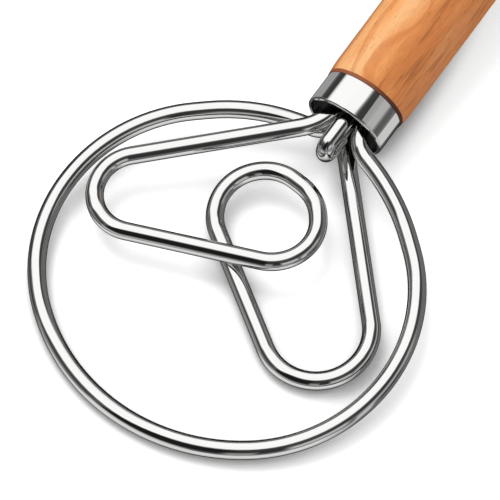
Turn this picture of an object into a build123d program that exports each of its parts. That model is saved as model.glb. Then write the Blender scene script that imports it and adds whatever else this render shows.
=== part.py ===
from build123d import *
import math
import os

# Dough whisk. Lengths are in millimetres and angles in degrees.
# The wires are laid out in the plane of the outer ring, with the ring's centre at the
# origin, +X towards the handle and +Z out of the face that looks up. At the end the whole
# whisk is tipped into the pose in which it lies on a table.

# Wire
wire_diameter = 5.0
strand_gap = 0.35
shortest_run = 0.001

# Outer ring
ring_radius = 50.0
throat_reach = 3.04

# Throat, where six wire ends turn into the ferrule. Each setback is how far in front of
# the ferrule's mouth the strand has its bend.
tail_length = 25.0
column_offset = 0.8
ring_entry_setback = 2.88
ring_entry_bend = 5.0
ring_exit_setback = 3.51
ring_exit_bend = 8.42
coil_entry_setback = 2.57
coil_entry_bend = 17.24
coil_exit_setback = 1.37
coil_exit_bend = 8.55
hairpin_reach = 9.84

# Ferrule
ferrule_length = 9.6
ferrule_wall = 0.5
lip_radius = 0.7

# Handle
handle_length = 145.0
handle_lean = 2.02
handle_turn = 1.08
mouth_recess = 5.5
socket_clearance = 0.5
socket_floor_gap = 1.0
tenon_wall = 2.3
tenon_fit = 0.04
shoulder_step = 0.12
shoulder_taper_length = 5.0
shoulder_taper_rise = 0.45
grip_swell = 0.2
butt_draw_in = 0.8
hang_hole_diameter = 6.0
hang_hole_from_end = 16.0

# Adhesive around the wire ends
adhesive_fit = 0.03
adhesive_setback = 1.0

# How far a cut runs past the faces that it opens
overrun = 2.0

# Bends of one half of the ring, from the handle to the far edge: place along X, place
# along Y and bend radius, as shares of ring_radius. The other half is its mirror image.
ring_bend_shares = (
    (0.886, 0.476, 1.130),
    (0.393, 1.050, 0.8986),
    (-0.464, 1.026, 0.8986),
    (-0.9556, 0.3818, 1.129),
)

# Bends of the inner coil, from its left loop through the centre eye to its right loop:
# place along X, place along Y and bend radius, as shares of ring_radius, and height, as a
# share of half the pitch of two strands that lie on each other.
coil_bend_shares = (
    (0.1614, 0.9026, 0.2290, 1.0),
    (-0.0604, 0.8724, 0.2290, 1.0),
    (-0.1730, 0.6788, 0.2290, 1.0),
    (0.1890, -0.2230, 0.2474, 1.0),
    (0.4232, -0.2984, 0.2474, 0.6),
    (0.6330, -0.1348, 0.2808, 0.2),
    (0.6630, 0.1466, 0.2606, -0.2),
    (0.4910, 0.3376, 0.2534, -0.6),
    (0.2444, 0.2968, 0.2534, -1.0),
    (-0.2916, -0.5342, 0.2878, -1.0),
    (-0.1738, -0.8130, 0.2878, -1.0),
    (0.1224, -0.8754, 0.2892, -1.0),
)

# Sizes that follow from those above
wire_radius = wire_diameter / 2
strand_pitch = wire_diameter + strand_gap
half_pitch = strand_pitch / 2
groove_pitch = strand_pitch * math.sin(math.radians(60))
mouth_x = ring_radius + throat_reach

# Places of the six wire ends across the ferrule, packed so that each strand lies in the
# groove between its neighbours: distance to the left of the axis, and height above it.
tail_places = {
    "hairpin_top": (-column_offset, strand_pitch),
    "hairpin_bottom": (-column_offset, 0),
    "coil_entry": (groove_pitch - column_offset, half_pitch),
    "coil_exit": (-column_offset, -strand_pitch),
    "ring_entry": (groove_pitch - column_offset, -half_pitch),
    "ring_exit": (-groove_pitch - column_offset, half_pitch),
}
bundle_radius = max(math.hypot(y, z) for y, z in tail_places.values()) + wire_radius
socket_radius = bundle_radius + socket_clearance
socket_end = tail_length + socket_floor_gap
tenon_radius = socket_radius + tenon_wall
bore_radius = tenon_radius + tenon_fit
ferrule_radius = bore_radius + ferrule_wall
shoulder_radius = ferrule_radius + shoulder_step
shoulder_end = ferrule_length + shoulder_taper_length
grip_start_radius = shoulder_radius + shoulder_taper_rise
grip_radius = grip_start_radius + grip_swell
butt_radius = grip_radius - butt_draw_in
handle_end = ferrule_length + handle_length
grip_end = handle_end - butt_radius

# The handle's own frame has its origin at the centre of the ferrule's mouth and +X along
# the handle, which leans up from the ring's plane and turns a little to the left.
handle_place = Pos(mouth_x, 0, 0) * Rot(0, 0, handle_turn) * Rot(0, -handle_lean, 0)


def tail_point(name, x):
    """A point on the centre line of one wire end, x along the handle from the mouth."""
    y, z = tail_places[name]
    return (handle_place * Pos(x, y, z)).position


def bend_lengths(corners, radii):
    """How far each bend reaches along its two runs, less where two bends would meet."""
    wanted = [0]
    for before, corner, after, radius in zip(corners, corners[1:], corners[2:], radii):
        turn = (corner - before).get_angle(after - corner)
        wanted.append(radius * math.tan(math.radians(turn / 2)))
    wanted.append(0)
    kept = list(wanted)
    for i, (corner, after) in enumerate(zip(corners, corners[1:])):
        run = (after - corner).length
        both = wanted[i] + wanted[i + 1]
        if both > run:
            kept[i] = min(kept[i], wanted[i] * run / both)
            kept[i + 1] = min(kept[i + 1], wanted[i + 1] * run / both)
    return kept


def bent_wire(corners, radii):
    """A round wire of straight runs joined by tangent arcs, one arc at each inner corner."""
    reaches = bend_lengths(corners, radii)
    edges = []
    start = corners[0]
    for i in range(1, len(corners) - 1):
        corner = corners[i]
        back = (corners[i - 1] - corner).normalized()
        ahead = (corners[i + 1] - corner).normalized()
        quarter_turn = math.radians(180 - back.get_angle(ahead)) / 4
        inward = (back + ahead).normalized()
        bend_start = corner + back * reaches[i]
        bend_middle = corner + inward * (reaches[i] * math.tan(quarter_turn))
        bend_end = corner + ahead * reaches[i]
        if (bend_start - start).length > shortest_run:
            edges.append(Edge.make_line(start, bend_start))
        edges.append(Edge.make_three_point_arc(bend_start, bend_middle, bend_end))
        start = bend_end
    edges.append(Edge.make_line(start, corners[-1]))
    section = Plane(origin=corners[0], z_dir=corners[1] - corners[0]) * Circle(wire_radius)
    return sweep(section, path=Wire(edges))


def make_outer_ring():
    """One wire, from the ferrule round the ring and back into the ferrule."""
    left = [Vector(x * ring_radius, y * ring_radius, 0) for x, y, _ in ring_bend_shares]
    right = [Vector(corner.X, -corner.Y, 0) for corner in reversed(left)]
    bends = [bend * ring_radius for _, _, bend in ring_bend_shares]
    entry = [tail_point("ring_entry", tail_length), tail_point("ring_entry", -ring_entry_setback)]
    leave = [tail_point("ring_exit", -ring_exit_setback), tail_point("ring_exit", tail_length)]
    radii = [ring_entry_bend] + bends + bends[::-1] + [ring_exit_bend]
    return bent_wire(entry + left + right + leave, radii)


def make_inner_coil():
    """One wire: left loop, centre eye, where it drops under itself, and right loop."""
    corners = [
        Vector(x * ring_radius, y * ring_radius, level * half_pitch)
        for x, y, _, level in coil_bend_shares
    ]
    bends = [bend * ring_radius for _, _, bend, _ in coil_bend_shares]
    entry = [tail_point("coil_entry", tail_length), tail_point("coil_entry", -coil_entry_setback)]
    leave = [tail_point("coil_exit", -coil_exit_setback), tail_point("coil_exit", tail_length)]
    radii = [coil_entry_bend] + bends + [coil_exit_bend]
    return bent_wire(entry + corners + leave, radii)


def make_throat_loop():
    """A tight hairpin of the same wire, whose two ends go back into the ferrule."""
    corners = [
        tail_point("hairpin_top", tail_length),
        tail_point("hairpin_top", -hairpin_reach),
        tail_point("hairpin_bottom", -hairpin_reach),
        tail_point("hairpin_bottom", tail_length),
    ]
    return bent_wire(corners, [half_pitch, half_pitch])


def make_ferrule():
    """A thin sleeve whose open mouth is drawn in to a lip, in two flats."""
    lip_centre_radius = ferrule_radius - lip_radius
    inner_lip_radius = lip_radius - ferrule_wall
    middle_share = math.cos(math.radians(45))
    outer_flat = lip_radius * middle_share
    inner_flat = inner_lip_radius * middle_share
    with BuildSketch() as profile:
        with BuildLine():
            Polyline(
                (ferrule_length, ferrule_radius),
                (lip_radius, ferrule_radius),
                (lip_radius - outer_flat, lip_centre_radius + outer_flat),
                (0, lip_centre_radius),
                (ferrule_wall, lip_centre_radius),
                (lip_radius - inner_flat, lip_centre_radius + inner_flat),
                (lip_radius, bore_radius),
                (ferrule_length, bore_radius),
                close=True,
            )
        make_face()
    return handle_place * revolve(profile.sketch, axis=Axis.X)


def make_handle():
    """A turned handle: tenon, tapered shoulder, slightly swelled grip and round butt."""
    grip_third = (grip_end - shoulder_end) / 3
    with BuildSketch() as profile:
        with BuildLine():
            Polyline(
                (socket_end, 0),
                (socket_end, socket_radius),
                (mouth_recess, socket_radius),
                (mouth_recess, tenon_radius),
                (ferrule_length, tenon_radius),
                (ferrule_length, shoulder_radius),
                (shoulder_end, grip_start_radius),
                (shoulder_end + grip_third, grip_radius),
                (grip_end - grip_third, grip_radius),
                (grip_end, butt_radius),
            )
            CenterArc((grip_end, 0), butt_radius, start_angle=0, arc_size=90)
            Line((handle_end, 0), (socket_end, 0))
        make_face()
    turned = revolve(profile.sketch, axis=Axis.X)
    drill = Cylinder(hang_hole_diameter / 2, 2 * (grip_radius + overrun))
    return handle_place * (turned - Pos(handle_end - hang_hole_from_end, 0, 0) * drill)


def make_socket_adhesive():
    """The set adhesive that fills the handle's socket round the six wire ends."""
    front = mouth_recess + adhesive_setback
    length = socket_end - adhesive_fit - front
    along_handle = Rot(0, 90, 0)
    middle = front + length / 2
    plug = Pos(middle, 0, 0) * along_handle * Cylinder(socket_radius - adhesive_fit, length)
    for y, z in tail_places.values():
        reach = tail_length + adhesive_fit
        hole_length = reach - front + overrun
        hole = Cylinder(wire_radius + adhesive_fit, hole_length)
        plug -= Pos(reach - hole_length / 2, y, z) * along_handle * hole
    return handle_place * plug


def resting_place(solids):
    """Tip the whisk until the ring's far edge and the ferrule's lip are level."""
    far_edge = -ring_radius * ring_bend_shares[-1][0]
    lip_low = (handle_place * Pos(lip_radius, 0, -ferrule_radius)).position
    along = lip_low.X + far_edge
    across = -lip_low.Z
    tilt = math.atan2(across, along) - math.asin(wire_radius / math.hypot(across, along))
    tipped = Rot(0, -math.degrees(tilt), 0)
    box = Compound(children=[tipped * solid for solid in solids]).bounding_box()
    centre = box.center()
    return Pos(-centre.X, -centre.Y, -box.min.Z) * tipped


def build():
    """All the sub-parts in the pose in which the whisk lies on a table."""
    solids = {
        "outer_ring": make_outer_ring(),
        "inner_coil": make_inner_coil(),
        "throat_loop": make_throat_loop(),
        "ferrule": make_ferrule(),
        "handle": make_handle(),
        "socket_adhesive": make_socket_adhesive(),
    }
    place = resting_place(list(solids.values()))
    return {name: place * solid for name, solid in solids.items()}


os.makedirs("parts", exist_ok=True)
for node, solid in build().items():
    export_step(solid, f"parts/{node}.step")
    box = solid.bounding_box()
    print(node, round(solid.volume, 1), box.min, box.max)
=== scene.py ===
import logging
import math
from dataclasses import dataclass, field
from enum import Enum

import bpy
from mathutils import Matrix, Vector


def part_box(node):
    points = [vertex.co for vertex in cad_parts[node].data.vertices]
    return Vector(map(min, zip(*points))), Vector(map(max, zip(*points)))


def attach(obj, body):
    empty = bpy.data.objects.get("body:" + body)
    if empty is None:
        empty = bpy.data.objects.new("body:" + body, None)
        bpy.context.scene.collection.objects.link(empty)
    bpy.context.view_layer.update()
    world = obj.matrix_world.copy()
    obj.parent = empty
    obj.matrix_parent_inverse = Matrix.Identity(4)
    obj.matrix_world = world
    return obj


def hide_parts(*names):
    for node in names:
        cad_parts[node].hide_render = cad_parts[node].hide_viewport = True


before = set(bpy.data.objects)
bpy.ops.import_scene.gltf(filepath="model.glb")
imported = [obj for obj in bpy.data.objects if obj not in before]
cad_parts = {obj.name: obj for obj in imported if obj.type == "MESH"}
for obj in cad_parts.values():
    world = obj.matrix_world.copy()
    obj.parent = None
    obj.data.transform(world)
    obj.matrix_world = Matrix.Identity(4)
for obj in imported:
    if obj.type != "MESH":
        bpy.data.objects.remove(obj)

# Dough whisk: three bent steel wires, a steel ferrule and a turned beech handle. Sizes are in
# millimetres where they are named, and MM turns them into the frame's metres. The wires and the
# handle are laid out in the plane of the outer ring, as on a bending jig, and then tipped into
# the pose in which the whisk lies on a table.

log = logging.getLogger("dough_whisk")

MM = 0.001
Socket = bpy.types.NodeSocket
Colour = tuple[float, float, float, float]


class Slot(Enum):
    """Names of the record's material slots."""

    WIRE = "polished_wire"
    FERRULE = "polished_ferrule"
    WOOD = "beech"


class Strand(Enum):
    """The six wire ends that lie in the ferrule."""

    HAIRPIN_TOP = "hairpin_top"
    HAIRPIN_BOTTOM = "hairpin_bottom"
    COIL_ENTRY = "coil_entry"
    COIL_EXIT = "coil_exit"
    RING_ENTRY = "ring_entry"
    RING_EXIT = "ring_exit"


# Mesh helpers


def deselect_all() -> None:
    """Leaves nothing selected, because the frame's own nodes come in selected."""
    bpy.ops.object.select_all(action="DESELECT")


def edit_all() -> None:
    """Goes into edit mode on the active object with all of its mesh selected."""
    bpy.ops.object.mode_set(mode="EDIT")
    bpy.ops.mesh.select_all(action="SELECT")


def open_circle(
    name: str, centre: Vector, axis: Vector, radius: float, segments: int
) -> bpy.types.Object:
    """Adds an unfilled circle and goes into edit mode with it selected.

    Args:
        name: Name of the new object and its mesh.
        centre: Centre of the circle, in metres.
        axis: Direction that the circle faces.
        radius: Radius of the circle, in metres.
        segments: Number of vertices round the circle.

    Returns:
        The new object, unturned and at the origin.
    """
    deselect_all()
    turn = axis.to_track_quat("Z", "Y").to_euler()
    bpy.ops.mesh.primitive_circle_add(
        vertices=segments, radius=radius, fill_type="NOTHING", location=centre, rotation=turn
    )
    piece = bpy.context.active_object
    piece.name = name
    piece.data.name = name
    bpy.ops.object.transform_apply(location=True, rotation=True, scale=True)
    edit_all()
    return piece


def extrude_by(step: Vector) -> None:
    """Extrudes the selected loop by one straight step, in metres."""
    bpy.ops.mesh.extrude_region_move(
        TRANSFORM_OT_translate={"value": step, "orient_type": "GLOBAL"}
    )


def close_shell(piece: bpy.types.Object, crease_angle: float) -> None:
    """Merges doubles, turns all faces outwards and shades the piece smooth.

    Args:
        piece: The object being edited, in edit mode.
        crease_angle: Edges that turn by more than this angle, in radians, stay sharp.
    """
    bpy.ops.mesh.select_all(action="SELECT")
    bpy.ops.mesh.remove_doubles(threshold=0.002 * MM)
    bpy.ops.mesh.normals_make_consistent(inside=False)
    bpy.ops.object.mode_set(mode="OBJECT")
    deselect_all()
    piece.select_set(True)
    bpy.context.view_layer.objects.active = piece
    bpy.ops.object.shade_smooth_by_angle(angle=crease_angle)


def dress(piece: bpy.types.Object, material: bpy.types.Material) -> None:
    """Gives a piece its material."""
    piece.data.materials.clear()
    piece.data.materials.append(material)


def report_piece(piece: bpy.types.Object) -> None:
    """Logs a finished piece and its size in millimetres."""
    size = ", ".join(f"{side / MM:.1f}" for side in piece.dimensions)
    log.info("%s: %d faces, %s mm", piece.name, len(piece.data.polygons), size)


# Layout of the whisk


@dataclass(frozen=True)
class WireStock:
    """Round wire of one gauge, and how closely its strands lie beside each other."""

    diameter: float = 5.0 * MM
    strand_gap: float = 0.35 * MM

    @property
    def radius(self) -> float:
        """Radius of the wire."""
        return self.diameter / 2

    @property
    def pitch(self) -> float:
        """Distance between the centre lines of two strands side by side."""
        return self.diameter + self.strand_gap

    @property
    def groove_pitch(self) -> float:
        """Sideways step of a strand that lies in the groove between two others."""
        return self.pitch * math.sin(math.radians(60))


@dataclass(frozen=True)
class Bend:
    """One bend of a wire: the corner of its two runs and its radius."""

    corner: Vector
    radius: float


@dataclass(frozen=True)
class HandleSizes:
    """Sizes of the handle, its ferrule and the socket, along and across the handle's axis."""

    stock: WireStock
    ferrule_length: float = 9.6 * MM
    ferrule_wall: float = 0.5 * MM
    lip_radius: float = 0.7 * MM
    handle_length: float = 145.0 * MM
    column_offset: float = 0.8 * MM
    tail_length: float = 25.0 * MM
    mouth_recess: float = 5.5 * MM
    socket_clearance: float = 0.5 * MM
    socket_floor_gap: float = 1.0 * MM
    tenon_wall: float = 2.3 * MM
    tenon_fit: float = 0.04 * MM
    shoulder_step: float = 0.12 * MM
    shoulder_taper_length: float = 5.0 * MM
    shoulder_taper_rise: float = 0.45 * MM
    grip_swell: float = 0.2 * MM
    butt_draw_in: float = 0.8 * MM
    hang_hole_diameter: float = 6.0 * MM
    hang_hole_from_end: float = 16.0 * MM

    def tail_places(self) -> dict[Strand, tuple[float, float]]:
        """Places of the six wire ends: distance to the left of the axis, and height above it."""
        half_pitch = self.stock.pitch / 2
        groove = self.stock.groove_pitch
        middle = -self.column_offset
        return {
            Strand.HAIRPIN_TOP: (middle, self.stock.pitch),
            Strand.HAIRPIN_BOTTOM: (middle, 0.0),
            Strand.COIL_ENTRY: (middle + groove, half_pitch),
            Strand.COIL_EXIT: (middle, -self.stock.pitch),
            Strand.RING_ENTRY: (middle + groove, -half_pitch),
            Strand.RING_EXIT: (middle - groove, half_pitch),
        }

    @property
    def socket_radius(self) -> float:
        """Radius of the socket that takes the bundle of wire ends."""
        bundle = max(math.hypot(y, z) for y, z in self.tail_places().values())
        return bundle + self.stock.radius + self.socket_clearance

    @property
    def socket_end(self) -> float:
        """Depth of the socket's floor behind the ferrule's mouth."""
        return self.tail_length + self.socket_floor_gap

    @property
    def tenon_radius(self) -> float:
        """Radius of the tenon inside the ferrule."""
        return self.socket_radius + self.tenon_wall

    @property
    def bore_radius(self) -> float:
        """Inner radius of the ferrule."""
        return self.tenon_radius + self.tenon_fit

    @property
    def ferrule_radius(self) -> float:
        """Outer radius of the ferrule."""
        return self.bore_radius + self.ferrule_wall

    @property
    def shoulder_radius(self) -> float:
        """Radius of the wood where it meets the ferrule."""
        return self.ferrule_radius + self.shoulder_step

    @property
    def shoulder_end(self) -> float:
        """Where the shoulder's taper ends and the grip starts."""
        return self.ferrule_length + self.shoulder_taper_length

    @property
    def grip_start_radius(self) -> float:
        """Radius of the grip at the shoulder."""
        return self.shoulder_radius + self.shoulder_taper_rise

    @property
    def grip_radius(self) -> float:
        """Largest radius of the grip."""
        return self.grip_start_radius + self.grip_swell

    @property
    def butt_radius(self) -> float:
        """Radius of the round butt."""
        return self.grip_radius - self.butt_draw_in

    @property
    def handle_end(self) -> float:
        """Far end of the handle."""
        return self.ferrule_length + self.handle_length

    @property
    def grip_end(self) -> float:
        """Where the grip ends and the round butt starts."""
        return self.handle_end - self.butt_radius


@dataclass(frozen=True)
class Layout:
    """Where the ring, the handle and the table lie to each other."""

    stock: WireStock
    handle: HandleSizes
    ring_radius: float = 50.0 * MM
    throat_reach: float = 3.04 * MM
    handle_lean: float = math.radians(2.02)
    handle_turn: float = math.radians(1.08)
    far_edge_share: float = 0.9556

    def handle_on_jig(self) -> Matrix:
        """Place of the handle's axes in the ring's plane, with the origin at the mouth."""
        mouth = Matrix.Translation((self.ring_radius + self.throat_reach, 0, 0))
        turn = Matrix.Rotation(self.handle_turn, 4, "Z")
        lean = Matrix.Rotation(-self.handle_lean, 4, "Y")
        return mouth @ turn @ lean

    def rest(self) -> Matrix:
        """The tilt and move that bring the ring's plane into the pose on the table."""
        lip_radius = self.handle.lip_radius
        lip_low = self.handle_on_jig() @ Vector((lip_radius, 0, -self.handle.ferrule_radius))
        far_edge = self.ring_radius * self.far_edge_share
        along = lip_low.x + far_edge
        across = -lip_low.z
        lift = math.asin(self.stock.radius / math.hypot(across, along))
        tilt = math.atan2(across, along) - lift
        low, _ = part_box("outer_ring")
        shift_x = low.x + self.stock.radius + far_edge * math.cos(tilt)
        shift_z = low.z + self.stock.radius + far_edge * math.sin(tilt)
        return Matrix.Translation((shift_x, 0, shift_z)) @ Matrix.Rotation(-tilt, 4, "Y")

    def handle_place(self) -> Matrix:
        """Place of the handle's axes in the frame."""
        return self.rest() @ self.handle_on_jig()

    def tail_point(self, strand: Strand, along: float) -> Vector:
        """A point on the centre line of one wire end, along metres behind the mouth."""
        across, height = self.handle.tail_places()[strand]
        return self.handle_place() @ Vector((along, across, height))

    def ring_point(self, x_share: float, y_share: float, height: float = 0.0) -> Vector:
        """A point of the ring's plane, in shares of the ring's radius, placed in the frame."""
        place = Vector((x_share * self.ring_radius, y_share * self.ring_radius, height))
        return self.rest() @ place


# Finishes


class NodeGraph:
    """A node tree with short calls to add nodes and to join them."""

    def __init__(self, tree: bpy.types.NodeTree) -> None:
        """Empties the tree."""
        self.tree = tree
        self.tree.nodes.clear()

    def add(self, kind: str, **settings: object) -> bpy.types.Node:
        """Adds a node of one kind and sets its named properties."""
        node = self.tree.nodes.new(kind)
        for name, value in settings.items():
            setattr(node, name, value)
        return node

    def join(self, source: Socket, target: Socket) -> None:
        """Links an output to an input."""
        self.tree.links.new(source, target)

    def feed(self, value: object, socket: Socket) -> None:
        """Links a socket's value if it is an output, or sets it if it is a number or a colour."""
        if isinstance(value, Socket):
            self.join(value, socket)
        else:
            socket.default_value = value

    def feed_all(self, node: bpy.types.Node, values: dict[str, object]) -> None:
        """Links or sets a node's inputs by name."""
        for name, value in values.items():
            self.feed(value, node.inputs[name])

    def math(self, operation: str, *operands: object) -> Socket:
        """Adds a Math node.

        Args:
            operation: The node's operation.
            operands: Its inputs in order, each a socket or a number.

        Returns:
            The node's output.
        """
        node = self.add("ShaderNodeMath", operation=operation)
        for socket, value in zip(node.inputs, operands):
            self.feed(value, socket)
        return node.outputs[0]

    def mix(self, share: object, first: object, second: object) -> Socket:
        """Mixes two values by a share of the second, each a socket or a number."""
        node = self.add("ShaderNodeMix", data_type="FLOAT")
        for place, value in zip((0, 2, 3), (share, first, second)):
            self.feed(value, node.inputs[place])
        return node.outputs[0]

    def ramp(
        self,
        value: Socket,
        low: float,
        high: float,
        start: float = 0.0,
        end: float = 1.0,
    ) -> Socket:
        """Maps a value smoothly from one range to another.

        Args:
            value: The value to map.
            low: Value that gives start.
            high: Value that gives end.
            start: Result at and below low.
            end: Result at and above high.

        Returns:
            The mapped value.
        """
        node = self.add("ShaderNodeMapRange", interpolation_type="SMOOTHSTEP")
        self.feed_all(node, {"Value": value, "From Min": low, "From Max": high})
        self.feed_all(node, {"To Min": start, "To Max": end})
        return node.outputs["Result"]

    def blend(
        self, share: object, first: object, second: object, mode: str = "MIX"
    ) -> Socket:
        """Mixes two colours.

        Args:
            share: How much of the second colour is used, a socket or a number.
            first: First colour, a socket or four numbers.
            second: Second colour, a socket or four numbers.
            mode: The mix node's blend type.

        Returns:
            The mixed colour.
        """
        node = self.add("ShaderNodeMix", data_type="RGBA", blend_type=mode)
        self.feed(share, node.inputs[0])
        self.feed(first, node.inputs[6])
        self.feed(second, node.inputs[7])
        return node.outputs[2]

    def noise(
        self,
        place: Socket,
        scale: float,
        detail: float,
        seed: float = 0.0,
    ) -> Socket:
        """Adds a noise texture read at a place.

        Args:
            place: Where the noise is read.
            scale: How fine it is, in features per metre.
            detail: How many finer layers it has.
            seed: Which of the endless patterns is used.

        Returns:
            The noise's value.
        """
        node = self.add("ShaderNodeTexNoise", noise_dimensions="4D")
        self.feed_all(node, {"Vector": place, "W": seed, "Scale": scale, "Detail": detail})
        return node.outputs["Fac"]

    def stretched(self, place: Socket, stretch: float) -> Socket:
        """Multiplies a place by a stretch along X, which draws a pattern out along the grain."""
        node = self.add("ShaderNodeVectorMath", operation="MULTIPLY")
        self.join(place, node.inputs[0])
        node.inputs[1].default_value = (stretch, 1.0, 1.0)
        return node.outputs["Vector"]

    def bump(
        self,
        shader: bpy.types.Node,
        height: Socket,
        strength: float,
        distance: float,
    ) -> None:
        """Gives a shader fine relief.

        Args:
            shader: The shader node.
            height: Height of the relief, from 0 to 1.
            strength: How strongly it shows.
            distance: How high it is, in metres.
        """
        node = self.add("ShaderNodeBump")
        self.feed_all(node, {"Strength": strength, "Distance": distance, "Height": height})
        self.join(node.outputs["Normal"], shader.inputs["Normal"])


def new_material(name: str) -> tuple[bpy.types.Material, NodeGraph, bpy.types.Node]:
    """Makes a material with a Principled shader.

    Args:
        name: Name of the material.

    Returns:
        The material, its node graph and its shader node.
    """
    material = bpy.data.materials.new(name)
    material.use_nodes = True
    graph = NodeGraph(material.node_tree)
    shader = graph.add("ShaderNodeBsdfPrincipled")
    output = graph.add("ShaderNodeOutputMaterial")
    graph.join(shader.outputs["BSDF"], output.inputs["Surface"])
    return material, graph, shader


def linear_level(level: float) -> float:
    """A display brightness of 0 to 1 as the linear value that a shader takes."""
    return level / 12.92 if level <= 0.04045 else ((level + 0.055) / 1.055) ** 2.4


def linear(red: int, green: int, blue: int) -> Colour:
    """A display colour of 0 to 255 as the linear colour that a shader takes."""
    return (*(linear_level(value / 255) for value in (red, green, blue)), 1.0)


@dataclass(frozen=True)
class PolishedSteel:
    """Polished stainless steel with faint polishing marks."""

    name: str
    colour: Colour = (0.90, 0.895, 0.885, 1.0)
    dull_share: float = 0.94
    dull_range: tuple = (0.3, 0.8, 0.0, 0.25)
    roughness_range: tuple = (0.35, 0.75, 0.03, 0.06)
    smudge_scale: float = 260.0
    mark_scale: float = 2600.0
    mark_strength: float = 0.25
    mark_height: float = 0.0002 * MM

    def make(self) -> bpy.types.Material:
        """Makes the material."""
        material, graph, shader = new_material(self.name)
        place = graph.add("ShaderNodeTexCoord").outputs["Object"]
        smudges = graph.noise(place, self.smudge_scale, 3.0)
        roughness = graph.ramp(smudges, *self.roughness_range)
        marks = graph.noise(place, self.mark_scale, 2.0)
        tint = graph.ramp(smudges, *self.dull_range)
        dull = tuple(part * self.dull_share for part in self.colour[:3]) + (1.0,)
        base = graph.blend(tint, self.colour, dull)
        graph.feed_all(shader, {"Base Color": base, "Metallic": 1.0, "Roughness": roughness})
        graph.bump(shader, marks, self.mark_strength, self.mark_height)
        return material


@dataclass(frozen=True)
class Grain:
    """One noise pattern in the wood, drawn out along the grain."""

    stretch: float
    scale: float
    detail: float
    seed: float = 0.0

    def lay(self, graph: NodeGraph, along_grain: Socket) -> Socket:
        """Adds the pattern to a material and returns its value."""
        place = graph.stretched(along_grain, self.stretch)
        return graph.noise(place, self.scale, self.detail, self.seed)


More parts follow.
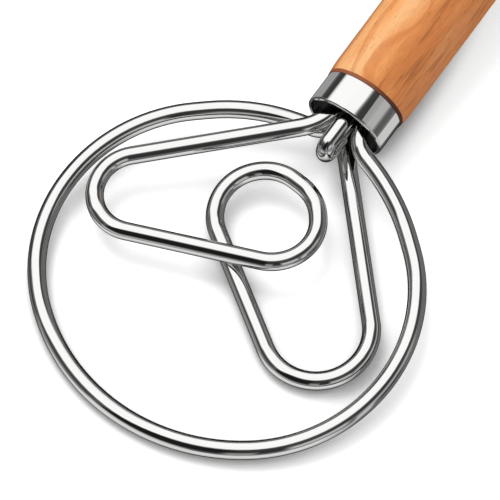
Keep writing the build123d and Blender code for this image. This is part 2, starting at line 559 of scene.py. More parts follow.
@dataclass(frozen=True)
class OiledBeech:
    """Oiled beech: pale and warm patches, swirled rings and short dark flecks, with painted shade
    that darkens and reddens the right side, deepens the ferrule band towards the right and blackens
    the wood inside the ferrule's mouth.

    A range gives the two values of a pattern, or the two places across the handle, between
    which a colour comes in or goes out, and then how much of it there is at each.
    """

    name: str
    pale: Colour = linear(246, 187, 128)
    warm: Colour = linear(240, 163, 94)
    streak: Colour = linear(206, 116, 54)
    # Painted shade of the handle's right side, in a redder brown.
    side_shade: Colour = linear(208, 122, 60)
    dark_line: Colour = linear(132, 66, 32)
    fleck: Colour = linear(140, 76, 40)
    band: Colour = linear(152, 84, 46)
    # Painted shade that deepens the band towards the right side.
    band_side_shade: Colour = linear(84, 42, 22)
    # Painted shade of the wood inside the ferrule's mouth.
    mouth_shade: Colour = linear(24, 20, 18)
    bounce: Colour = (0.22, 0.20, 0.18, 1.0)
    patches: Grain = Grain(0.30, 75.0, 2.0)
    swirl: Grain = Grain(0.26, 62.0, 2.0, seed=2.3)
    frayed: Grain = Grain(0.16, 230.0, 4.0)
    lines: Grain = Grain(0.10, 760.0, 3.0, seed=4.0)
    fibres: Grain = Grain(0.10, 3200.0, 3.0)
    dashes: Grain = Grain(0.22, 2300.0, 1.0)
    patch_range: tuple = (0.40, 0.62)
    ring_range: tuple = (0.44, 0.72, 0.0, 0.80)
    side_shade_range: tuple = (-10.0 * MM, 2.0 * MM, 0.82, 0.0)
    line_range: tuple = (0.50, 0.70, 0.0, 0.58)
    fibre_range: tuple = (0.3, 0.7, 0.92, 1.07)
    dash_range: tuple = (0.64, 0.76, 0.0, 0.45)
    band_side_shade_range: tuple = (-11.0 * MM, 2.0 * MM, 1.0, 0.0)
    pith_distance: float = 34.0 * MM
    ring_spacing: float = 3.4 * MM
    swirl_depth: float = 27.0 * MM
    side_drift: float = -0.55
    fray_depth: float = 26.0 * MM
    fibre_strength: float = 0.35
    fibre_height: float = 0.03 * MM
    roughness: float = 0.42
    gloss_index: float = 1.45

    def make(self, axis_place: Matrix, band_start: float, band_end: float) -> bpy.types.Material:
        """Makes the material for wood whose grain runs along one axis.

        Args:
            axis_place: Place of the axis in the frame, +X along the grain.
            band_start: Where the dark band starts along the axis.
            band_end: Where the dark band ends.

        Returns:
            The material.
        """
        material, graph, shader = new_material(self.name)
        mapping = graph.add("ShaderNodeMapping", vector_type="TEXTURE")
        mapping.inputs["Location"].default_value = axis_place.to_translation()
        mapping.inputs["Rotation"].default_value = axis_place.to_euler()
        graph.join(graph.add("ShaderNodeTexCoord").outputs["Object"], mapping.inputs["Vector"])
        along_grain = mapping.outputs["Vector"]
        split = graph.add("ShaderNodeSeparateXYZ")
        graph.join(along_grain, split.inputs[0])

        patches = self.patches.lay(graph, along_grain)
        base = graph.blend(graph.ramp(patches, *self.patch_range), self.pale, self.warm)
        figure = self.growth_figure(graph, along_grain, split)
        base = graph.blend(figure, base, self.streak)
        # Painted shade: the right side turns a darker, redder brown, and the dark grain lines show
        # only there.
        red = self.shaded_side(graph, along_grain, split)
        base = graph.blend(red, base, self.side_shade)
        lines = self.lines.lay(graph, along_grain)
        dark_line = graph.math("MULTIPLY", graph.ramp(lines, *self.line_range), red)
        base = graph.blend(dark_line, base, self.dark_line)

        fibres = self.fibres.lay(graph, along_grain)
        shade = graph.ramp(fibres, *self.fibre_range)
        combined = graph.add("ShaderNodeCombineColor")
        for socket in combined.inputs:
            graph.join(shade, socket)
        base = graph.blend(1.0, base, combined.outputs[0], "MULTIPLY")

        dashes = self.dashes.lay(graph, along_grain)
        base = graph.blend(graph.ramp(dashes, *self.dash_range), base, self.fleck)

        wobble = graph.noise(along_grain, 300.0, 2.0)
        shift = graph.ramp(wobble, 0.3, 0.7, -0.05 * MM, 0.05 * MM)
        edge = graph.math("ADD", split.outputs["X"], shift)
        in_band = graph.ramp(edge, band_end - 0.10 * MM, band_end + 0.15 * MM, 1.0, 0.0)
        # Painted shade: the band by the ferrule deepens towards the handle's right side, away from
        # the lamp.
        band_shade_share = graph.ramp(split.outputs["Y"], *self.band_side_shade_range)
        base = graph.blend(in_band, base, graph.blend(band_shade_share, self.band, self.band_side_shade))
        # Painted shade: the wood inside the ferrule, seen deep in its mouth, is coloured near
        # black.
        mouth_shade_range = (band_start - 0.3 * MM, band_start - 0.1 * MM, 1.0, 0.0)
        inside = graph.ramp(split.outputs["X"], *mouth_shade_range)
        base = graph.blend(inside, base, self.mouth_shade)
        bounced = graph.add("ShaderNodeLightPath").outputs["Is Diffuse Ray"]
        base = graph.blend(bounced, base, self.bounce)

        gloss = {"Roughness": self.roughness, "IOR": self.gloss_index}
        graph.feed_all(shader, {"Base Color": base, **gloss})
        graph.bump(shader, fibres, self.fibre_strength, self.fibre_height)
        return material

    def growth_figure(
        self, graph: NodeGraph, along_grain: Socket, split: bpy.types.Node
    ) -> Socket:
        """Growth rings about a pith beside the handle, swirled and unevenly spaced.

        Args:
            graph: The material's node graph.
            along_grain: Place in the wood, +X along the grain.
            split: The same place, one output for each axis.

        Returns:
            How much a point lies in a dark ring, from 0 to 1.
        """
        swirl = self.swirl.lay(graph, along_grain)
        height = graph.math("ADD", split.outputs["Z"], self.pith_distance)
        side = split.outputs["Y"]
        square = graph.math("ADD", graph.math("POWER", side, 2.0), graph.math("POWER", height, 2.0))
        drift = graph.math("MULTIPLY", side, self.side_drift)
        distance = graph.math("ADD", graph.math("SQRT", square), drift)
        bent = graph.math("ADD", distance, graph.math("MULTIPLY", swirl, self.swirl_depth))
        rings = graph.add("ShaderNodeTexNoise", noise_dimensions="1D")
        graph.feed_all(rings, {"W": bent, "Scale": 1 / self.ring_spacing, "Detail": 3.0})
        return graph.ramp(rings.outputs["Fac"], *self.ring_range)

    def shaded_side(
        self, graph: NodeGraph, along_grain: Socket, split: bpy.types.Node
    ) -> Socket:
        """Painted shade along the handle's right side, away from the lamp, in a darker, redder
        brown frayed into long streaks.

        Args:
            graph: The material's node graph.
            along_grain: Place in the wood, +X along the grain.
            split: The same place, one output for each axis.

        Returns:
            How much a point lies in the painted side shade, from 0 to 1.
        """
        frayed = self.frayed.lay(graph, along_grain)
        border = graph.math("MULTIPLY", graph.math("SUBTRACT", frayed, 0.5), self.fray_depth)
        place = graph.math("ADD", split.outputs["Y"], border)
        return graph.ramp(place, *self.side_shade_range)


@dataclass(frozen=True)
class SetResin:
    """Dark set resin with a faintly uneven skin."""

    name: str
    dark: Colour = (0.012, 0.010, 0.009, 1.0)
    light: Colour = (0.030, 0.026, 0.023, 1.0)
    cloud_scale: float = 500.0
    skin_strength: float = 0.4
    skin_height: float = 0.1 * MM
    roughness: float = 0.5

    def make(self) -> bpy.types.Material:
        """Makes the material."""
        material, graph, shader = new_material(self.name)
        place = graph.add("ShaderNodeTexCoord").outputs["Object"]
        cloud = graph.noise(place, self.cloud_scale, 3.0)
        base = graph.blend(graph.ramp(cloud, 0.35, 0.65), self.dark, self.light)
        graph.feed_all(shader, {"Base Color": base, "Roughness": self.roughness})
        graph.bump(shader, cloud, self.skin_strength, self.skin_height)
        return material


# Sub-assemblies


@dataclass
class BentWire:
    """A round wire of straight runs joined by bends, with both ends cut square."""

    name: str
    start: Vector
    bends: list[Bend]
    end: Vector
    stock: WireStock
    segments: int = 48
    bend_step: float = math.radians(3)
    shortest_run: float = 0.001 * MM
    crease_angle: float = math.radians(40)

    def corners(self) -> list[Vector]:
        """The wire's ends and the corners between them, in order."""
        return [self.start, *(bend.corner for bend in self.bends), self.end]

    def reaches(self) -> list[float]:
        """How far each bend reaches along its two runs, less where two bends would meet."""
        corners = self.corners()
        wanted = [0.0]
        for before, bend, after in zip(corners, self.bends, corners[2:]):
            turn = (bend.corner - before).angle(after - bend.corner)
            wanted.append(bend.radius * math.tan(turn / 2))
        wanted.append(0.0)
        kept = list(wanted)
        for index, (corner, after) in enumerate(zip(corners, corners[1:])):
            run = (after - corner).length
            both = wanted[index] + wanted[index + 1]
            if both > run:
                kept[index] = min(kept[index], wanted[index] * run / both)
                kept[index + 1] = min(kept[index + 1], wanted[index + 1] * run / both)
        return kept

    def build(self) -> bpy.types.Object:
        """Models the wire by extruding each run and spinning each bend.

        Returns:
            The finished piece.
        """
        corners = self.corners()
        reaches = self.reaches()
        heading = (corners[1] - corners[0]).normalized()
        piece = open_circle(self.name, self.start, heading, self.stock.radius, self.segments)
        bpy.ops.mesh.edge_face_add()
        place = self.start
        for index in range(1, len(corners) - 1):
            corner = corners[index]
            ahead = (corners[index + 1] - corner).normalized()
            bend_start = corner - heading * reaches[index]
            if (bend_start - place).length > self.shortest_run:
                extrude_by(bend_start - place)
            turn = heading.angle(ahead)
            axis = heading.cross(ahead).normalized()
            centre = bend_start + axis.cross(heading) * (reaches[index] / math.tan(turn / 2))
            steps = max(2, math.ceil(turn / self.bend_step))
            bpy.ops.mesh.spin(steps=steps, angle=-turn, center=centre, axis=axis)
            place = corner + ahead * reaches[index]
            heading = ahead
        extrude_by(self.end - place)
        close_shell(piece, self.crease_angle)
        return piece


@dataclass
class WireWork:
    """The three bent wires: outer ring, inner coil and throat loop."""

    layout: Layout
    steel: PolishedSteel = PolishedSteel("polished_wire_steel")
    ring_entry_setback: float = 2.88 * MM
    ring_entry_bend: float = 5.0 * MM
    ring_exit_setback: float = 3.51 * MM
    ring_exit_bend: float = 8.42 * MM
    coil_entry_setback: float = 2.57 * MM
    coil_entry_bend: float = 17.24 * MM
    coil_exit_setback: float = 1.37 * MM
    coil_exit_bend: float = 8.55 * MM
    hairpin_reach: float = 9.84 * MM

    # Bends of one half of the ring, from the handle to the far edge: place along X, place along
    # Y and radius, as shares of the ring's radius. The other half is its mirror image.
    ring_bend_shares: tuple = (
        (0.886, 0.476, 1.130),
        (0.393, 1.050, 0.8986),
        (-0.464, 1.026, 0.8986),
        (-0.9556, 0.3818, 1.129),
    )

    # Bends of the coil, from its left loop through the centre eye to its right loop: place along
    # X, place along Y and radius, as shares of the ring's radius, and height, as a share of half
    # the pitch of two strands.
    coil_bend_shares: tuple = (
        (0.1614, 0.9026, 0.2290, 1.0),
        (-0.0604, 0.8724, 0.2290, 1.0),
        (-0.1730, 0.6788, 0.2290, 1.0),
        (0.1890, -0.2230, 0.2474, 1.0),
        (0.4232, -0.2984, 0.2474, 0.6),
        (0.6330, -0.1348, 0.2808, 0.2),
        (0.6630, 0.1466, 0.2606, -0.2),
        (0.4910, 0.3376, 0.2534, -0.6),
        (0.2444, 0.2968, 0.2534, -1.0),
        (-0.2916, -0.5342, 0.2878, -1.0),
        (-0.1738, -0.8130, 0.2878, -1.0),
        (0.1224, -0.8754, 0.2892, -1.0),
    )

    def strand_bend(self, strand: Strand, setback: float, radius: float) -> Bend:
        """The bend where a strand turns into the ferrule, a setback in front of its mouth."""
        return Bend(self.layout.tail_point(strand, -setback), radius)

    def wire(self, name: str, first: Strand, bends: list[Bend], last: Strand) -> BentWire:
        """A wire whose two ends lie in the ferrule."""
        length = self.layout.handle.tail_length
        start = self.layout.tail_point(first, length)
        end = self.layout.tail_point(last, length)
        return BentWire(name, start, bends, end, self.layout.stock)

    def outer_ring(self) -> BentWire:
        """The wire that goes from the ferrule round the ring and back."""
        radius = self.layout.ring_radius
        half = self.ring_bend_shares
        left = [Bend(self.layout.ring_point(x, y), bend * radius) for x, y, bend in half]
        right = [Bend(self.layout.ring_point(x, -y), bend * radius) for x, y, bend in half[::-1]]
        entry = self.strand_bend(Strand.RING_ENTRY, self.ring_entry_setback, self.ring_entry_bend)
        leave = self.strand_bend(Strand.RING_EXIT, self.ring_exit_setback, self.ring_exit_bend)
        bends = [entry, *left, *right, leave]
        return self.wire("ring_wire", Strand.RING_ENTRY, bends, Strand.RING_EXIT)

    def inner_coil(self) -> BentWire:
        """The wire with a left loop, a centre eye that drops under itself, and a right loop."""
        radius = self.layout.ring_radius
        half_pitch = self.layout.stock.pitch / 2
        loops = [
            Bend(self.layout.ring_point(x, y, level * half_pitch), bend * radius)
            for x, y, bend, level in self.coil_bend_shares
        ]
        entry = self.strand_bend(Strand.COIL_ENTRY, self.coil_entry_setback, self.coil_entry_bend)
        leave = self.strand_bend(Strand.COIL_EXIT, self.coil_exit_setback, self.coil_exit_bend)
        return self.wire("coil_wire", Strand.COIL_ENTRY, [entry, *loops, leave], Strand.COIL_EXIT)

    def throat_loop(self) -> BentWire:
        """The tight hairpin that stands on edge in front of the ferrule."""
        half_pitch = self.layout.stock.pitch / 2
        bends = [
            self.strand_bend(Strand.HAIRPIN_TOP, self.hairpin_reach, half_pitch),
            self.strand_bend(Strand.HAIRPIN_BOTTOM, self.hairpin_reach, half_pitch),
        ]
        return self.wire("hairpin_wire", Strand.HAIRPIN_TOP, bends, Strand.HAIRPIN_BOTTOM)

    def build(self) -> None:
        """Builds and dresses the three wires."""
        steel = self.steel.make()
        wires = {
            "outer_ring": self.outer_ring(),
            "inner_coil": self.inner_coil(),
            "throat_loop": self.throat_loop(),
        }
        for node, wire in wires.items():
            piece = wire.build()
            dress(piece, steel)
            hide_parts(node)
            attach(piece, "root")
            report_piece(piece)


@dataclass(frozen=True)
class Station:
    """One circle of a turned shape: place along the axis and radius."""

    along: float
    radius: float


def arc_stations(
    centre: Station, radius: float, start: float, end: float, steps: int
) -> list[Station]:
    """Stations along an arc of a turned profile.

    Args:
        centre: Centre of the arc: place along the axis and distance from it.
        radius: Radius of the arc.
        start: Angle of the first station, from the axis's direction, in degrees.
        end: Angle of the last station, in degrees.
        steps: Number of steps between the first and the last station.

    Returns:
        The stations, both ends included.
    """
    stations = []
    for step in range(steps + 1):
        angle = math.radians(start + (end - start) * step / steps)
        along = centre.along + radius * math.cos(angle)
        stations.append(Station(along, centre.radius + radius * math.sin(angle)))
    return stations


@dataclass
class TurnedPiece:
    """A piece turned about the handle's axis, extruded from circle to circle."""

    name: str
    place: Matrix
    segments: int = 128
    crease_angle: float = math.radians(30)

    def start(self, first: Station) -> bpy.types.Object:
        """Adds the first circle and goes into edit mode with it selected."""
        centre = Vector((first.along, 0, 0))
        return open_circle(self.name, centre, Vector((1, 0, 0)), first.radius, self.segments)

    def turn(self, stations: list[Station]) -> None:
        """Extrudes the selected circle through the stations that follow the first."""
        for before, after in zip(stations, stations[1:]):
            extrude_by(Vector((after.along - before.along, 0, 0)))
            growth = after.radius / before.radius
            bpy.ops.transform.resize(value=(1, growth, growth), center_override=(after.along, 0, 0))

    def set_in_place(self, piece: bpy.types.Object) -> None:
        """Moves the finished mesh from the lathe's axis to its place in the frame."""
        deselect_all()
        piece.select_set(True)
        bpy.context.view_layer.objects.active = piece
        piece.matrix_world = self.place
        bpy.ops.object.transform_apply(location=True, rotation=True, scale=True)


@dataclass
class Ferrule:
    """The polished sleeve with a drawn-in lip round its open mouth."""

    layout: Layout
    steel: PolishedSteel = PolishedSteel("polished_ferrule_steel")
    edge_break: float = 0.12 * MM

    def stations(self) -> list[Station]:
        """The sleeve's profile, from its back edge round the lip and back inside."""
        sizes = self.layout.handle
        lip = Station(sizes.lip_radius, sizes.ferrule_radius - sizes.lip_radius)
        inner_lip_radius = sizes.lip_radius - sizes.ferrule_wall
        nose = Station(sizes.ferrule_wall / 2, lip.radius)
        outside = arc_stations(lip, sizes.lip_radius, 90, 180, 10)
        round_nose = arc_stations(nose, sizes.ferrule_wall / 2, 180, 360, 6)[1:-1]
        inside = arc_stations(lip, inner_lip_radius, 180, 90, 5)
        back = Station(sizes.ferrule_length, sizes.ferrule_radius - self.edge_break)
        shoulder = Station(sizes.ferrule_length - self.edge_break, sizes.ferrule_radius)
        inner_back = Station(sizes.ferrule_length, sizes.bore_radius)
        return [back, shoulder, *outside, *round_nose, *inside, inner_back]

    def build(self) -> bpy.types.Object:
        """Builds and dresses the ferrule.

        Returns:
            The finished piece.
        """
        lathe = TurnedPiece("ferrule_sleeve", self.layout.handle_place())
        stations = self.stations()
        piece = lathe.start(stations[0])
        lathe.turn([*stations, stations[0]])
        close_shell(piece, lathe.crease_angle)
        lathe.set_in_place(piece)
        dress(piece, self.steel.make())
        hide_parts("ferrule")
        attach(piece, "root")
        report_piece(piece)
        return piece


@dataclass
class Handle:
    """The turned beech handle with its tenon, socket, shoulder, grip, round butt and hang hole."""

    layout: Layout
    wood: OiledBeech = OiledBeech("oiled_beech")
    shoulder_steps: int = 12
    band_length: float = 1.0 * MM
    grip_steps: int = 40
    butt_steps: int = 18
    pole_radius: float = 0.2 * MM

    def grip_radius_at(self, share: float) -> float:
        """Radius of the grip at a share of its length: a slow swell, then a slow draw-in."""
        sizes = self.layout.handle
        swell = math.sin(min(share * 3, 1) * math.pi / 2)
        draw = max(share * 3 - 2, 0)
        rise = sizes.grip_swell * swell
        return sizes.grip_start_radius + rise - sizes.butt_draw_in * draw * draw * (3 - 2 * draw)

    def stations(self) -> list[Station]:
        """The handle's profile, from the socket's floor out over the shoulder to the butt."""
        sizes = self.layout.handle
        socket = [
            Station(sizes.socket_end, self.pole_radius),
            Station(sizes.socket_end, sizes.socket_radius),
            Station(sizes.mouth_recess, sizes.socket_radius),
            Station(sizes.mouth_recess, sizes.tenon_radius),
            Station(sizes.ferrule_length, sizes.tenon_radius),
            Station(sizes.ferrule_length, sizes.shoulder_radius),
        ]
        shoulder = []
        for step in range(1, self.shoulder_steps + 1):
            share = step / self.shoulder_steps
            along = sizes.ferrule_length + sizes.shoulder_taper_length * share
            rise = sizes.shoulder_taper_rise * math.sin(math.pi / 2 * share)
            shoulder.append(Station(along, sizes.shoulder_radius + rise))
        grip_length = sizes.grip_end - sizes.shoulder_end
        grip = [
            Station(
                sizes.shoulder_end + grip_length * step / self.grip_steps,
                self.grip_radius_at(step / self.grip_steps),
            )
            for step in range(1, self.grip_steps + 1)
        ]
        butt = arc_stations(Station(sizes.grip_end, 0), sizes.butt_radius, 90, 0, self.butt_steps)
        return [*socket, *shoulder, *grip, *butt[1:-1], Station(sizes.handle_end, self.pole_radius)]

    def drill(self, piece: bpy.types.Object) -> None:
        """Cuts the hang hole near the butt."""
        sizes = self.layout.handle
        deselect_all()
        bpy.ops.mesh.primitive_cylinder_add(
            vertices=64,
            radius=sizes.hang_hole_diameter / 2,
            depth=4 * sizes.grip_radius,
            location=(sizes.handle_end - sizes.hang_hole_from_end, 0, 0),
        )
        drill = bpy.context.active_object
        bpy.context.view_layer.objects.active = piece
        cut = piece.modifiers.new("hang_hole", "BOOLEAN")
        cut.operation = "DIFFERENCE"
        cut.object = drill
        cut.solver = "EXACT"
        bpy.ops.object.modifier_apply(modifier=cut.name)
        bpy.data.objects.remove(drill, do_unlink=True)

    def build(self) -> None:
        """Builds and dresses the handle."""
        sizes = self.layout.handle
        lathe = TurnedPiece("turned_handle", self.layout.handle_place())
        stations = self.stations()
        piece = lathe.start(stations[0])
        bpy.ops.mesh.edge_face_add()
        lathe.turn(stations)
        close_shell(piece, lathe.crease_angle)
        self.drill(piece)
        lathe.set_in_place(piece)
        band_end = sizes.ferrule_length + self.band_length
        material = self.wood.make(self.layout.handle_place(), sizes.ferrule_length, band_end)
        dress(piece, material)
        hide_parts("handle")
        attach(piece, "root")
        report_piece(piece)


@dataclass
class SocketFill:
    """The set resin round the wire ends, whose solid shape stays as it is."""

    resin: SetResin = SetResin("set_resin")

    def build(self) -> None:
        """Dresses the solid."""
        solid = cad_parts["socket_adhesive"]
        material = self.resin.make()
        if not solid.material_slots:
            solid.data.materials.append(material)
        for slot in solid.material_slots:
            slot.material = material
        log.info("%s: dressed", solid.name)


# Studio


def direction_to(azimuth: float, elevation: float) -> Vector:
    """The direction that has an azimuth and an elevation, both in degrees."""
    across = math.cos(math.radians(elevation))
    turn = math.radians(azimuth)
    up = math.sin(math.radians(elevation))
    return Vector((across * math.cos(turn), across * math.sin(turn), up))


@dataclass(frozen=True)
class Panel:
    """A soft-edged panel of the studio that shows in polished steel.

    It spans a range of azimuth and of elevation, in degrees. Its level is the display
    brightness that it has in the steel, where 1 is white.
    """

    azimuth: float
    half_width: float
    low: float
    high: float
    level: float
    side_softness: float = 4.0
    edge_softness: float = 6.0

    def mask(
        self, graph: NodeGraph, azimuth: Socket, elevation: Socket
    ) -> Socket:
        """How far a direction lies on the panel, from 0 to 1.

        Args:
            graph: The world's node graph.
            azimuth: Azimuth of the direction, in degrees.
            elevation: Elevation of the direction, in degrees.

        Returns:
            The share.
        """
        soft = self.edge_softness / 2
        above = graph.ramp(elevation, self.low - soft, self.low + soft)
        below = graph.ramp(elevation, self.high - soft, self.high + soft, 1.0, 0.0)
        share = graph.math("MULTIPLY", above, below)
        if self.half_width < 180:
            soft = self.side_softness / 2
            offset = graph.math("SUBTRACT", azimuth, self.azimuth)
            away = graph.math("ABSOLUTE", graph.math("WRAP", offset, 180.0, -180.0))
            side = graph.ramp(away, self.half_width - soft, self.half_width + soft, 1.0, 0.0)
            share = graph.math("MULTIPLY", share, side)
        return share


def hang_area_lamp(name: str, shape: str, place: Vector, facing: Vector) -> bpy.types.Object:
    """Adds an area lamp.

    Args:
        name: Name of the lamp.
        shape: Its outline, RECTANGLE or DISK.
        place: Where it hangs, in metres.
        facing: The direction that its back faces, away from what it lights.

    Returns:
        The lamp.
    """
    deselect_all()
    bpy.ops.object.light_add(type="AREA", location=place)
    lamp = bpy.context.active_object
    lamp.name = name
    lamp.rotation_euler = facing.to_track_quat("Z", "Y").to_euler()
    lamp.data.shape = shape
    return lamp


@dataclass(frozen=True)
class ReflectorCard:
    """A small glowing card that stands round one polished piece and shows in that piece alone.

    Its place and size are in degrees as the piece sees them, and its level is the display
    brightness that it adds in the steel.
    """

    azimuth: float
    elevation: float
    width: float
    height: float
    level: float
    distance: float = 500.0 * MM

    def hang(self, name: str, piece: bpy.types.Object, group: bpy.types.Collection) -> None:
        """Adds the card as a lamp.

        Args:
            name: Name of the lamp.
            piece: The piece that the card faces.
            group: The collection of the pieces that show it.
        """
        corners = [Vector(corner) for corner in piece.bound_box]
        middle = sum(corners, Vector()) / len(corners)
        direction = direction_to(self.azimuth, self.elevation)
        place = middle + direction * self.distance
        lamp = hang_area_lamp(name, "RECTANGLE", place, direction)
        lamp.data.size = 2 * self.distance * math.tan(math.radians(self.width / 2))
        lamp.data.size_y = 2 * self.distance * math.tan(math.radians(self.height / 2))
        area = lamp.data.size * lamp.data.size_y
        lamp.data.energy = math.pi * area * linear_level(self.level)
        lamp.light_linking.receiver_collection = group


@dataclass
class Studio:
    """Pale floor, a soft lamp, white surroundings and the panels that the steel reflects."""

    steel_reflectance: float = 0.9
    surround: float = 0.40
    panels: tuple = (
        Panel(158, 34, -95, 5, 0.72, 14, 10),
        Panel(-146, 38, -95, -2, 0.68, 14, 10),
        Panel(-102, 12, -95, -8, 0.66, 8, 10),
        Panel(-165, 60, -46, -6, 0.84, 20, 14),
        Panel(35, 62, -95, 2, 0.14, 30, 12),
        Panel(-45, 40, -40, 28, 0.4, 20, 8),
        Panel(-73, 8, -14, 7, 0.22, 6, 6),
        Panel(108, 14, -8, 14, 0.2, 10, 8),
        Panel(138, 14, -12, 12, 0.46, 8, 8),
        Panel(138, 16, 12, 38, 0.24, 8, 8),
        Panel(-45, 42, 30, 63, 0.24, 16, 8),
        Panel(-72, 20, 8, 33, 0.6, 12, 8),
        Panel(-97, 32, 35, 64, 0.22, 8, 12),
        Panel(-90, 5, -20, 18, 0.72, 4, 6),
        Panel(-114, 14, 7, 32, 0.7, 5, 6),
        Panel(-128, 20, 42, 66, 0.25, 8, 12),
        Panel(-138, 7, 14, 54, 0.18, 4, 8),
        Panel(-151, 7, -4, 30, 0.54, 5, 8),
        Panel(-151, 7, 30, 66, 0.2, 5, 12),
        Panel(180, 24, 14, 64, 0.1, 5, 10),
        Panel(-161, 6, 2, 18, 0.3, 5, 8),
        Panel(64, 40, 24, 95, 0.985, 8, 16),
        Panel(112, 10, 34, 95, 0.985, 8, 10),
        Panel(134, 22, 50, 95, 0.985, 12, 12),
        Panel(12, 14, 28, 95, 0.93, 14, 16),
        Panel(12, 14, 46, 95, 0.985, 14, 12),
        Panel(-6, 10, 51, 95, 0.985, 10, 10),
        Panel(-28, 16, 61, 95, 0.98, 12, 10),
        Panel(-40, 20, 67, 95, 0.975, 12, 10),
        Panel(0, 200, 71, 95, 0.975, 4, 12),
        Panel(73, 5, 5, 22, 0.22, 4, 6),
        Panel(0, 200, -95, -64, 0.22, 4, 12),
    )
    ferrule_cards: tuple = (
        ReflectorCard(62, -22, 34, 44, 0.60),
        ReflectorCard(-56, -36, 50, 34, 0.72),
        ReflectorCard(-68, 40.5, 16, 14, 0.60),
        ReflectorCard(-68, 18.5, 16, 30, 0.36),
        ReflectorCard(-68, -5, 16, 20, 0.28),
    )
    ambient: float = 0.74
    second_bounce: float = 0.60
    floor_size: float = 2.4
    floor_colour: Colour = (0.98, 0.98, 0.98, 1.0)
    floor_glow: float = 0.40
    # Painted contact shadow on the floor, read from ambient occlusion.
    contact_shadow_colour: Colour = (0.42, 0.40, 0.40, 1.0)
    contact_shadow_range: tuple = (0.15, 0.75, 0.75, 0.0)
    glow_shadow_range: tuple = (0.40, 0.97)
    contact_shadow_reach: float = 9.0 * MM
    key_power: float = 5.4
    key_size: float = 0.6
    key_distance: float = 1.2
    key_azimuth: float = 72.0
    key_elevation: float = 62.0

    def light_world(self) -> None:
        """White for the camera, the panels for polished surfaces and a plain light for the rest."""
        world = bpy.data.worlds.new("studio")
        bpy.context.scene.world = world
        world.use_nodes = True
        graph = NodeGraph(world.node_tree)
        direction = graph.add("ShaderNodeSeparateXYZ")
        graph.join(graph.add("ShaderNodeTexCoord").outputs["Generated"], direction.inputs[0])
        across, along, up = direction.outputs
        azimuth = graph.math("DEGREES", graph.math("ARCTAN2", along, across))
        elevation = graph.math("DEGREES", graph.math("ARCSINE", up))
        light: object = linear_level(self.surround) / self.steel_reflectance
        for panel in self.panels:
            share = panel.mask(graph, azimuth, elevation)
            light = graph.mix(share, light, linear_level(panel.level) / self.steel_reflectance)
        rays = graph.add("ShaderNodeLightPath")
        again = graph.math("GREATER_THAN", rays.outputs["Glossy Depth"], 1.5)
        light = graph.math("MULTIPLY", light, graph.mix(again, 1.0, self.second_bounce))
        seen = graph.mix(rays.outputs["Is Glossy Ray"], self.ambient, light)
        white = graph.mix(rays.outputs["Is Camera Ray"], seen, 1.0)
        background = graph.add("ShaderNodeBackground")
        background.inputs["Color"].default_value = (1.0, 1.0, 1.0, 1.0)
        graph.feed(white, background.inputs["Strength"])
        output = graph.add("ShaderNodeOutputWorld")
        graph.join(background.outputs[0], output.inputs["Surface"])

    def lay_floor(self) -> None:
        """A pale floor with a painted contact shadow where ambient occlusion finds the whisk close,
        which keeps the whisk's soft shadow and reads white elsewhere.
        """
        deselect_all()
        bpy.ops.mesh.primitive_plane_add(size=self.floor_size, location=(0, 0, 0))
        floor = bpy.context.active_object
        floor.name = "floor"
        material, graph, shader = new_material("pale_floor")
        white = (1.0, 1.0, 1.0, 1.0)
        matt = {"Roughness": 0.9, "Specular IOR Level": 0.0, "Emission Color": white}
        graph.feed_all(shader, matt)
        # Painted contact shadow: close to the whisk the floor's colour turns grey and its glow
        # fades.
        nearby = graph.add("ShaderNodeAmbientOcclusion", samples=16)
        nearby.inputs["Distance"].default_value = self.contact_shadow_reach
        glow_outside_shadow = graph.ramp(nearby.outputs["AO"], *self.glow_shadow_range, 0.0, self.floor_glow)
        contact_shadow_share = graph.ramp(nearby.outputs["AO"], *self.contact_shadow_range)
        shadowed_paper = graph.blend(contact_shadow_share, self.floor_colour, self.contact_shadow_colour)
        graph.join(shadowed_paper, shader.inputs["Base Color"])
        rays = graph.add("ShaderNodeLightPath")
        glow = graph.math("MULTIPLY", rays.outputs["Is Camera Ray"], glow_outside_shadow)
        graph.join(glow, shader.inputs["Emission Strength"])
        floor.data.materials.append(material)
        floor.visible_glossy = False

    def hang_lamp(self) -> None:
        """A large soft lamp high behind the whisk, which the steel doesn't show."""
        direction = direction_to(self.key_azimuth, self.key_elevation)
        lamp = hang_area_lamp("soft_lamp", "DISK", direction * self.key_distance, direction)
        lamp.data.size = self.key_size
        lamp.data.energy = self.key_power
        lamp.visible_glossy = False

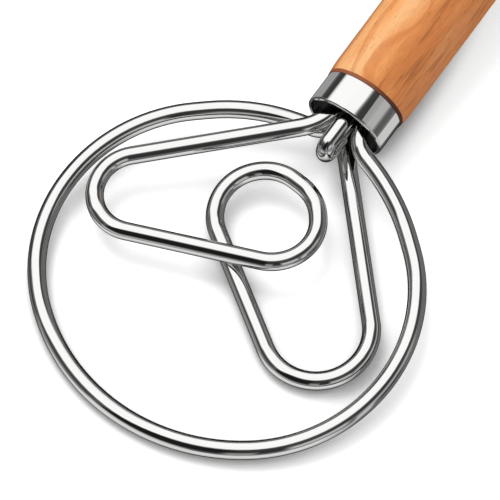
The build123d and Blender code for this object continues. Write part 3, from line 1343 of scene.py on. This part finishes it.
    def hang_cards(self, ferrule: bpy.types.Object) -> None:
        """Hangs the cards that the ferrule alone shows."""
        group = bpy.data.collections.new("ferrule_reflections")
        group.objects.link(ferrule)
        for number, card in enumerate(self.ferrule_cards, 1):
            card.hang(f"ferrule_card_{number}", ferrule, group)

    def build(self, ferrule: bpy.types.Object) -> None:
        """Sets the studio up round the whisk.

        Args:
            ferrule: The ferrule's finished piece.
        """
        bpy.context.scene.view_settings.view_transform = "Standard"
        self.light_world()
        self.lay_floor()
        self.hang_lamp()
        self.hang_cards(ferrule)


@dataclass(frozen=True)
class PhotographCamera:
    """The camera at the photograph's place, given by the point that it looks at.

    Its azimuth, elevation and roll are in degrees, and its focal length is in pixels of the
    photograph.
    """

    aim: Vector = field(default_factory=lambda: Vector((-69.0517, -0.93, 7.6945)) * MM)
    azimuth: float = -143.2389
    elevation: float = 61.9403
    roll: float = -0.0188
    distance: float = 645.824 * MM
    focal_pixels: float = 2426.2
    picture_pixels: float = 500.0
    sensor: float = 36.0

    def build(self) -> None:
        """Adds the camera and makes it the scene's own."""
        back = direction_to(self.azimuth, self.elevation)
        deselect_all()
        bpy.ops.object.camera_add(location=self.aim + back * self.distance)
        camera = bpy.context.active_object
        level = back.to_track_quat("Z", "Y").to_matrix().to_4x4()
        roll = Matrix.Rotation(math.radians(self.roll), 4, "Z")
        camera.rotation_euler = (level @ roll).to_euler()
        camera.data.sensor_width = self.sensor
        camera.data.lens = self.focal_pixels * self.sensor / self.picture_pixels
        camera.data.clip_start = 1 * MM
        camera.data.clip_end = 10.0
        bpy.context.scene.camera = camera


def main() -> None:
    """Builds the whisk, the studio and the camera."""
    logging.basicConfig(level=logging.INFO, format="%(name)s %(message)s")
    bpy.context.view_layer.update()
    stock = WireStock()
    layout = Layout(stock, HandleSizes(stock))
    PhotographCamera().build()
    WireWork(layout).build()
    ferrule = Ferrule(layout).build()
    Handle(layout).build()
    SocketFill().build()
    Studio().build(ferrule)
    deselect_all()


if __name__ == "__main__":
    main()
